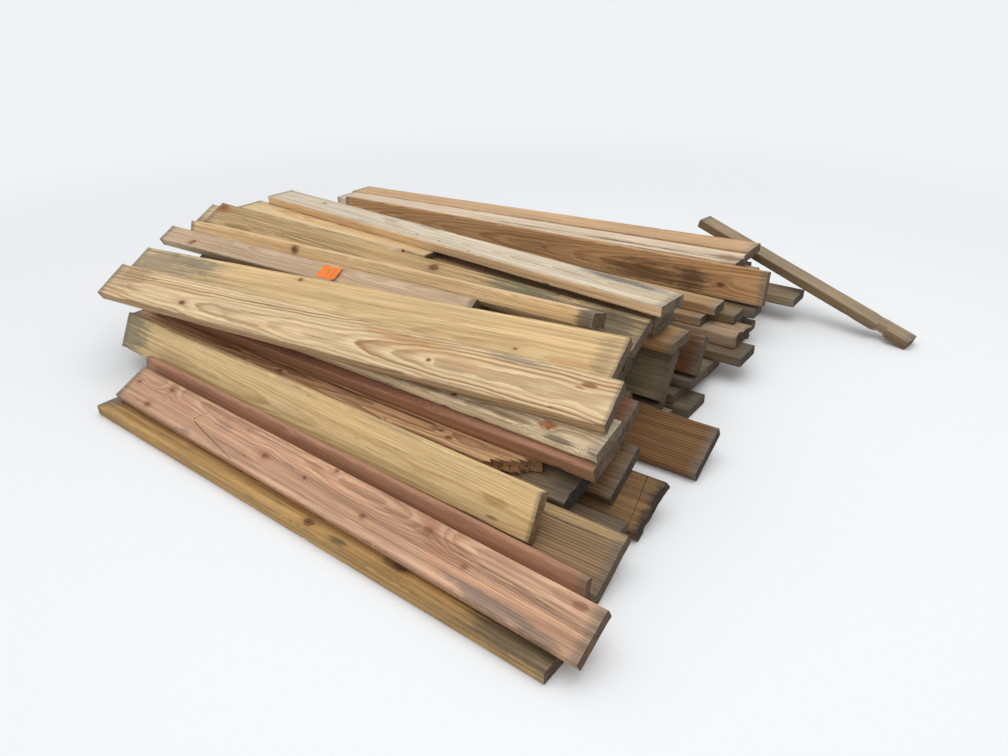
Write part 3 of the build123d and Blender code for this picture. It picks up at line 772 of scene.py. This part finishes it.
# Places on a board are from its middle, in metres along and across. The steps above that make a
# knot, a mark, a split, a wane, a bite or an end say what its parts are
LOOKS = {
    "front_board": like(
        BROWN, light=tone(188, 150, 96), dark=tone(126, 90, 50), warm=tone(176, 132, 76), rings=0.003,
        # Its narrow side takes a darker tone of its own: painted shade
        grey=0.05, contrast=1.0, streak=2.0, dirt=0.45, mould=0.2, sides=0.25,
        side_tone=tone(176, 142, 90),
        knots=((0.156, -0.04, 0.011), (0.49, -0.02, 0.014)),
        marks=((0.28, -0.045, 0.045, 0.012, SOOT, 0.7), (0.47, -0.02, 0.05, 0.02, UMBER, 0.6),
               (0.86, -0.03, 0.19, 0.055, tone(96, 88, 72), 0.8), (-0.95, 0.0, 0.05, 0.06, ASH, 0.7))),
    "front_batten": BROWN,
    "ground_boards": DARK,
    "second_boards": like(DARK, light=tone(132, 110, 84), dark=tone(84, 68, 50)),
    "brown_edge_bearer": DARK,
    "low_rear_board": like(
        DARK, light=tone(116, 96, 74), dark=tone(74, 60, 45), end_tone=tone(58, 52, 46)),
    "low_bearers": DARK,
    "middle_board_1": like(
        BROWN, light=tone(122, 96, 68), dark=tone(78, 58, 40), end_tone=tone(66, 58, 50)),
    "middle_board_2": like(DARK, end_tone=tone(70, 64, 56)),
    "middle_board_3": like(REDDISH, light=tone(138, 92, 68), dark=tone(88, 56, 42)),
    "middle_board_4": like(DARK, end_tone=tone(64, 58, 50)),
    "valley_board": like(
        GREYED, light=tone(146, 126, 98), dark=tone(92, 74, 54), grey_tone=tone(118, 112, 96),
        end_tone=tone(72, 64, 54),
        knots=((0.99, 0.052, 0.015),)),
    "wedge_board": TAN,
    "low_back_board": like(BROWN, light=tone(140, 112, 80)),
    "end_block": like(DARK, light=tone(130, 108, 82)),
    "back_stack_board_1": like(
        TAN, light=tone(158, 128, 94), dark=tone(112, 86, 60), end_tone=tone(58, 54, 50)),
    "back_stack_board_2": like(BROWN, light=tone(126, 106, 80), end_tone=tone(54, 52, 48)),
    "back_stack_board_3": like(
        TAN, light=tone(164, 130, 92), dark=tone(118, 88, 58), end_tone=tone(66, 60, 54)),
    "under_boards": like(
        BROWN, light=tone(158, 126, 88), dark=tone(108, 80, 54), end_tone=tone(86, 72, 56)),
    "far_layer_boards": like(GREYED, light=tone(150, 130, 102), dark=tone(104, 86, 66)),
    "pink_board": like(
        PINKISH, light=tone(204, 163, 133), dark=tone(163, 114, 86), wobble=0.005, streak=1.8,
        knots=((-0.936, 0.014, 0.007), (-0.806, -0.042, 0.01), (-0.757, 0.041, 0.009),
               (-0.183, -0.001, 0.011), (0.087, 0.06, 0.005), (0.006, -0.001, 0.005),
               (0.265, -0.015, 0.007), (0.469, 0.034, 0.011), (0.615, -0.001, 0.006)),
        splits=((-0.551, -0.015, -0.289, -0.061, 0.0012), (-0.561, -0.012, -0.521, 0.04, 0.001)),
        marks=((0.924, 0.047, 0.02, 0.012, RESIN, 0.55),
               (0.72, -0.05, 0.13, 0.018, tone(134, 116, 104), 0.75),
               (0.88, -0.06, 0.06, 0.014, tone(122, 106, 94), 0.6),
               (0.55, 0.01, 0.1, 0.03, tone(176, 124, 92), 0.5),
               (-0.55, -0.055, 0.05, 0.012, tone(112, 100, 88), 0.5),
               (-0.42, 0.02, 0.05, 0.03, tone(150, 120, 104), 0.4))),
    "thin_board": like(
        PINKISH, light=tone(186, 140, 112), dark=tone(148, 100, 74), warm=tone(172, 122, 92), grey=0.08,
        dirt=0.45),
    "stamped_board": like(
        YELLOW, light=tone(231, 201, 149), dark=tone(193, 154, 102), warm=tone(214, 178, 121),
        rings=0.0058, contrast=0.9, taper=0.012, pith=(-0.02, -0.045), swing=0.03, grey=0.04, dirt=0.15,
        mould=0.1, streak=1.0, end_tone=tone(120, 92, 60),
        marks=((-0.95, 0.0, 0.12, 0.14, tone(142, 134, 108), 0.8),
               (0.857, -0.047, 0.03, 0.008, SOOT, 0.6), (0.8, -0.064, 0.12, 0.006, SOOT, 0.5),
               (0.86, 0.0, 0.05, 0.016, tone(186, 142, 88), 0.7))),
    "splintered_board": like(
        REDDISH, light=tone(210, 168, 124), dark=tone(129, 86, 58), warm=tone(176, 126, 88),
        rings=0.0048, contrast=0.95, end_tone=tone(176, 130, 88), streak=1.7, bend=0.3, wobble=0.003,
        swing=0.03, grey=0.1,
        ends=(("splinter", 1, 0.15),),
        wane=((-1, 1, -0.6, 0.5, 0.02),),
        knots=((-0.075, -0.014, 0.007), (0.637, 0.007, 0.006), (0.68, -0.01, 0.007)),
        marks=((0.2, 0.02, 0.5, 0.006, tone(84, 52, 38), 0.7),
               (-0.4, 0.0, 0.4, 0.006, tone(96, 60, 42), 0.6))),
    "charred_board": like(
        DARK, light=tone(146, 124, 96), end_tone=tone(50, 48, 44), grey_right=0.12,
        ends=(("rot", 1, 0.012),)),
    "pink_rough_board": like(
        REDDISH, light=tone(170, 114, 86), dark=tone(100, 60, 46), warm=tone(142, 90, 68), rings=0.0032,
        # Its narrow side takes a lighter tone of its own: painted light
        relief=1.0, grey=0.12, sides=0.85, side_tone=tone(176, 130, 98), flecks=tone(186, 140, 122),
        marks=((0.8, 0.0, 0.36, 0.12, tone(186, 140, 108), 0.8),
               (0.3, 0.03, 0.4, 0.02, tone(92, 52, 42), 0.6))),
    "weathered_board": like(
        GREYED, light=tone(240, 216, 178), dark=tone(158, 124, 88), grey=0.22,
        grey_tone=tone(170, 161, 138), contrast=0.95,
        wane=((-1, 1, 0.72, 1.0, 0.03),),
        knots=((0.83, -0.04, 0.006), (0.5, -0.04, 0.006)),
        marks=((0.823, -0.028, 0.034, 0.014, RUST, 0.85), (0.87, -0.06, 0.05, 0.01, SOOT, 0.65),
               (0.66, -0.045, 0.14, 0.012, UMBER, 0.5), (0.3, -0.05, 0.2, 0.02, MOSS, 0.5),
               (-0.35, -0.05, 0.3, 0.025, MOSS, 0.5))),
    "first_top_board": like(
        YELLOW, light=tone(222, 195, 153), dark=tone(130, 85, 48), warm=tone(170, 124, 78), rings=0.0088,
        contrast=1.0, pith=(-0.016, -0.045), swing=0.06, grey=0.05, dirt=0.2, bands=0.35,
        # Its narrow side takes a darker tone of its own: painted shade
        wobble=0.012, streak=1.1, fibre=0.7, end_tone=tone(66, 58, 50), sides=0.5,
        side_tone=tone(150, 120, 84),
        knots=((-0.611, -0.028, 0.008), (0.45, -0.01, 0.004)),
        marks=((0.955, 0.036, 0.022, 0.009, RESIN, 0.75), (0.93, 0.022, 0.018, 0.005, RESIN, 0.6),
               (0.72, 0.06, 0.12, 0.015, ASH, 0.6), (-0.93, 0.02, 0.12, 0.07, tone(166, 134, 98), 0.7),
               (0.879, -0.06, 0.012, 0.005, UMBER, 0.6),
               (0.3, 0.05, 0.2, 0.018, tone(176, 128, 82), 0.6))),
    "second_top_board": like(
        YELLOW, light=tone(217, 187, 139), dark=tone(176, 138, 90), warm=tone(202, 167, 116),
        rings=0.0065, contrast=0.65, taper=0.015, grey=0.04, dirt=0.2,
        knots=((-0.88, 0.07, 0.01), (-0.197, 0.072, 0.006), (0.75, -0.031, 0.003)),
        marks=((-0.9, 0.03, 0.34, 0.13, tone(160, 144, 118), 0.85),
               (-0.72, 0.04, 0.12, 0.05, tone(132, 124, 104), 0.6),
               (0.8, -0.075, 0.13, 0.02, tone(126, 112, 92), 0.8),
               (0.95, -0.04, 0.1, 0.02, tone(176, 122, 78), 0.5),
               (1.03, 0.0, 0.05, 0.09, tone(156, 134, 100), 0.6))),
    "tagged_board": like(
        PINKISH, light=tone(199, 174, 144), dark=tone(169, 135, 103), grey=0.12, dirt=0.3,
        knots=((-0.641, -0.022, 0.008),),
        marks=((-0.63, -0.01, 0.015, 0.012, RESIN, 0.8),)),
    "ridge_board": like(
        YELLOW, light=tone(224, 192, 146), dark=tone(184, 142, 94), rings=0.005, taper=0.02, grey=0.12,
        grey_right=0.05, on_side=True,
        knots=((-0.334, 0.004, 0.01),),
        marks=((-0.33, 0.004, 0.025, 0.02, UMBER, 0.5),
               (0.97, 0.0, 0.035, 0.09, tone(112, 100, 84), 0.9))),
    "knotty_board": like(
        YELLOW, light=tone(184, 159, 118), dark=tone(132, 97, 57), rings=0.0055, taper=0.012, grey=0.05,
        contrast=0.95, streak=1.7,
        knots=((-1.047, 0.043, 0.014), (0.212, 0.035, 0.013), (0.956, 0.043, 0.014)),
        marks=((-1.03, 0.035, 0.05, 0.03, RUST, 0.6), (0.62, 0.03, 0.26, 0.07, tone(116, 110, 86), 0.95),
               (0.95, 0.02, 0.16, 0.09, tone(100, 88, 70), 0.85))),
    "bright_board": like(YELLOW, light=tone(222, 194, 150), dark=tone(184, 146, 98)),
    "top_board": like(
        TAN, light=tone(213, 198, 175), dark=tone(172, 148, 118), warm=tone(198, 174, 144), rings=0.004,
        # Its narrow side is painted lighter than the face: painted light, as from light bouncing up from
        # the ground
        grey=0.2, contrast=0.9, sides=1.0, side_tone=tone(230, 194, 150),
        knots=((-0.755, 0.021, 0.006),),
        marks=((-0.071, -0.033, 0.008, 0.006, SOOT, 0.9), (0.063, -0.042, 0.008, 0.006, SOOT, 0.9),
               (0.235, -0.055, 0.009, 0.006, SOOT, 0.9),
               (0.86, 0.045, 0.2, 0.022, tone(112, 106, 92), 0.85), (-0.1, 0.05, 0.12, 0.012, ASH, 0.6),
               (-0.3, 0.03, 0.08, 0.02, UMBER, 0.4))),
    "back_edge_board": like(
        ORANGE, pith=(0.005, -0.05), swing=0.035, taper=0.035,
        knots=((0.155, 0.001, 0.005), (1.037, -0.012, 0.009)),
        marks=((0.7, -0.02, 0.22, 0.05, tone(120, 88, 54), 0.85),
               (0.9, -0.01, 0.1, 0.06, tone(92, 68, 44), 0.8))),
    "rotten_board": like(
        TAN, light=tone(222, 202, 176), dark=tone(188, 155, 122), grey=0.1, contrast=0.8,
        ends=(("rot", 1, 0.03),),
        marks=((0.1, -0.03, 0.35, 0.006, SOOT, 0.85), (0.7, -0.03, 0.35, 0.012, tone(92, 74, 56), 0.85),
               (1.15, -0.03, 0.08, 0.04, tone(120, 88, 56), 0.7), (-0.6, -0.05, 0.4, 0.005, SOOT, 0.7))),
    "back_top_board": like(
        TAN, light=tone(203, 166, 126), dark=tone(172, 131, 92), warm=tone(193, 150, 107), contrast=0.5,
        grey=0.06, dirt=0.2),
    "stick": like(
        # Its narrow sides take a darker tone of their own: painted shade
        GREYED, sides=0.7, side_tone=tone(116, 90, 60), rings=0.0035, light=tone(158, 138, 110),
        dark=tone(104, 84, 62), grey_tone=tone(116, 110, 98),
        bites=((-1, 0.399, 0.03, 0.024),)),
    "first_wide_board": like(
        BROWN, light=tone(152, 127, 94), dark=tone(103, 76, 50), warm=tone(137, 101, 64), grey=0.1,
        rings=0.008, pith=(0.16, -0.04), swing=0.03, contrast=0.95, bands=0.3,
        marks=((0.45, 0.06, 0.12, 0.006, SOOT, 0.7), (0.4, 0.075, 0.3, 0.014, tone(196, 166, 116), 0.6))),
    "second_wide_board": like(
        BROWN, light=tone(122, 95, 64), dark=tone(78, 56, 36), rings=0.008, pith=(-0.16, -0.04),
        edge=0.9, grey=0.2, edge_tone=tone(50, 42, 34), end_tone=tone(52, 44, 38),
        ends=(("rot", 1, 0.034),),
        splits=((0.925, 0.09, 0.945, -0.09, 0.0012),),
        marks=((0.985, 0.0, 0.03, 0.12, tone(60, 50, 40), 0.85),)),
    "third_wide_board": like(
        BROWN, light=tone(132, 96, 58), dark=tone(60, 38, 21), warm=tone(118, 77, 39), rings=0.0085,
        pith=(0.17, -0.03), swing=0.03, contrast=1.0, bands=0.3, grey=0.12, end_tone=tone(48, 42, 36)),
    "deep_beam": like(
        DARK, light=tone(153, 131, 98), dark=tone(106, 88, 65), warm=tone(131, 106, 76), grey=0.3,
        marks=((0.95, 0.0, 0.2, 0.12, MOSS, 0.5),)),
    "brown_edge_board": like(
        ORANGE, light=tone(138, 82, 34), dark=tone(88, 49, 18), warm=tone(122, 67, 25),
        marks=((0.96, 0.0, 0.06, 0.1, SOOT, 0.6),)),
    "rear_board_4": like(REDDISH, light=tone(140, 96, 74), dark=tone(90, 58, 46)),
    "rear_board_3": like(REDDISH, light=tone(132, 92, 72)),
    "beam_top_board": like(BROWN, light=tone(186, 146, 100), dark=tone(140, 100, 62), grey=0.15),
    "back_beam_board": like(
        BROWN, light=tone(170, 144, 116), dark=tone(120, 98, 76), grey=0.3, end_tone=tone(60, 52, 44),
        ends=(("rot", 1, 0.03),)),
}

# Boards that no look names take these in turn
OTHER_LOOKS = (BROWN, TAN, GREYED, DARK, BROWN)

# Boards that lie inside the heap or low at its back have a coarser mesh
COARSE = {"ground_boards", "second_boards", "far_layer_boards", "back_layer_boards", "low_bearers",
          "middle_bearers", "rear_bearers", "brown_edge_bearer", "front_batten", "rear_stack_board_1",
          "rear_stack_board_2", "rear_stack_board_3", "middle_board_2", "middle_board_3", "middle_board_4",
          "rear_board_1", "rear_board_2", "wedge_board", "end_block"}


def put_in_scene(name, data):
    thing = bpy.data.objects.new(name, data)
    bpy.context.collection.objects.link(thing)
    return thing


def dress(name, node, lie, number):
    """One board where its solid lies, with wood on its faces and end grain on its ends"""
    look = LOOKS.get(node) or OTHER_LOOKS[number % len(OTHER_LOOKS)]
    mesh = Bar(lie.size, number, look, node not in COARSE).build(name)
    mesh.materials.append(Wood(name, look, lie, number, False).material)
    mesh.materials.append(Wood(name + "_end", look, lie, number, True).material)
    mesh.transform(lie.matrix())
    piece = put_in_scene(name + "_wood", mesh)
    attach(piece, "root")
    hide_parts(node)


number = 0
for node in sorted(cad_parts):
    if node == "lot_tag":
        continue
    group = lies(node)
    for index, lie in enumerate(group):
        number += 1
        dress(node if len(group) == 1 else f"{node}_{index + 1}", node, lie, number)


# The card's two ruled bars: how far across and how far along each runs, in shares of its half size
BARS = ((0.35, 0.72), (-0.15, 0.5))
BAR_MIDDLE = -0.1
BAR_HALF_WIDTH = (0.0009, 0.0016)
BAR_FADE = 0.001


def orange_card(lie):
    """Orange card with stains, a worn rim and two plain ruled bars"""
    n = Nodes("orange_card")
    where = n.board_place(lie)
    x, y, _ = n.apart(where)
    half_length, half_width = lie.size[0] / 2, lie.size[1] / 2
    pulp = n.noise(where, 900.0, 4.0, 0.65)
    stain = n.noise(where, 45.0, 4.0, 0.6)
    speck = n.noise(where, 130.0, 3.0, 0.6)
    colour = n.mix(n.step(pulp, 0.3, 0.7), tone(236, 116, 28), tone(250, 138, 50))
    colour = n.mix(n.mul(n.step(stain, 0.5, 0.72), 0.5), colour, tone(206, 98, 34))
    colour = n.mix(n.mul(n.step(speck, 0.62, 0.72), 0.4), colour, tone(150, 84, 48))
    rim = n.math("MINIMUM", n.sub(half_length, n.size_of(x)), n.sub(half_width, n.size_of(y)))
    worn = n.step(n.add(rim, n.around(stain, 0.004)), 0.002, 0.0)
    colour = n.mix(n.mul(worn, 0.6), colour, tone(252, 190, 130))
    along = n.size_of(n.sub(x, BAR_MIDDLE * half_length))
    for across, reach in BARS:
        inner, outer = BAR_HALF_WIDTH
        bar = n.step(n.size_of(n.sub(y, across * half_width)), outer, inner)
        end = reach * half_length
        bar = n.mul(bar, n.step(along, end, end - BAR_FADE))
        colour = n.mix(n.mul(bar, 0.75), colour, tone(92, 50, 30))
    rough = n.math("MULTIPLY_ADD", stain, 0.25, 0.5)
    n.finish(colour, rough, n.add(pulp, n.mul(stain, 1.5)), 0.4, 0.0004)
    return n.material


# The card tag keeps its solid and takes a card material
card = orange_card(lies("lot_tag")[0])
for card_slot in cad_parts["lot_tag"].material_slots:
    card_slot.material = card

# The floor, the sky and one soft light
BACKDROP = tone(240, 242, 244)
FLOOR_HALF = 40
FLOOR_FADE = (1.8, 5.0)

floor_mesh = bpy.data.meshes.new("floor")
floor_corners = [(side * FLOOR_HALF, face * FLOOR_HALF, 0) for side, face in CORNERS]
floor_mesh.from_pydata(floor_corners, [], [(0, 1, 2, 3)])
floor = put_in_scene("floor", floor_mesh)
n = Nodes("floor")
n.shader.inputs["Base Color"].default_value = tone(238, 238, 238)
n.shader.inputs["Roughness"].default_value = 0.9
# Far from the heap the camera sees the floor as plain white paper
coordinates = n.tree.nodes.new("ShaderNodeTexCoord").outputs["Object"]
far = n.step(n.vector("LENGTH", coordinates), *FLOOR_FADE)
seen = n.tree.nodes.new("ShaderNodeLightPath").outputs["Is Camera Ray"]
paper = n.tree.nodes.new("ShaderNodeEmission")
paper.inputs["Color"].default_value = BACKDROP
blend = n.tree.nodes.new("ShaderNodeMixShader")
n.put(blend.inputs[0], n.mul(far, seen))
n.tree.links.new(n.shader.outputs[0], blend.inputs[1])
n.tree.links.new(paper.outputs[0], blend.inputs[2])
n.tree.links.new(blend.outputs[0], n.out.inputs[0])
floor_mesh.materials.append(n.material)

world = bpy.data.worlds.new("sky")
bpy.context.scene.world = world
world.use_nodes = True
nodes, links = world.node_tree.nodes, world.node_tree.links
sky = nodes["Background"]
sky.inputs["Color"].default_value = (0.94, 0.97, 1.0, 1.0)
sky.inputs["Strength"].default_value = 0.8
wall = nodes.new("ShaderNodeBackground")
wall.inputs["Color"].default_value = BACKDROP
seen = nodes.new("ShaderNodeLightPath").outputs["Is Camera Ray"]
blend = nodes.new("ShaderNodeMixShader")
links.new(seen, blend.inputs[0])
links.new(sky.outputs[0], blend.inputs[1])
links.new(wall.outputs[0], blend.inputs[2])
links.new(blend.outputs[0], nodes["World Output"].inputs[0])

panel_data = bpy.data.lights.new("sky_panel", "AREA")
panel_data.size = 5.0
panel_data.energy = 120
panel = put_in_scene("sky_panel", panel_data)
panel.location = (1.0, -0.5, 5.0)
panel.rotation_euler = (-panel.location).to_track_quat("-Z", "Y").to_euler()

# The photo's camera, placed from the near right corner of the pink board. It looks straight down
# until it is raised, tipped sideways and headed, in degrees
EYE_FROM_PINK = (0.599, -0.965)
EYE_HEIGHT = 1.385
CAMERA_TURNS = (61.5479, 1.1537, 38.3749)
FOCAL_PIXELS = 757.0
PICTURE_PIXELS = 1008
SENSOR = 36.0

low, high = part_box("pink_board")
camera_data = bpy.data.cameras.new("camera")
camera_data.sensor_width = SENSOR
camera_data.lens = FOCAL_PIXELS / PICTURE_PIXELS * SENSOR
camera = put_in_scene("camera", camera_data)
camera.location = (high[0] + EYE_FROM_PINK[0], low[1] + EYE_FROM_PINK[1], EYE_HEIGHT)
camera.rotation_euler = [math.radians(turn) for turn in CAMERA_TURNS]
bpy.context.scene.camera = camera
bpy.context.scene.view_settings.view_transform = "Standard"
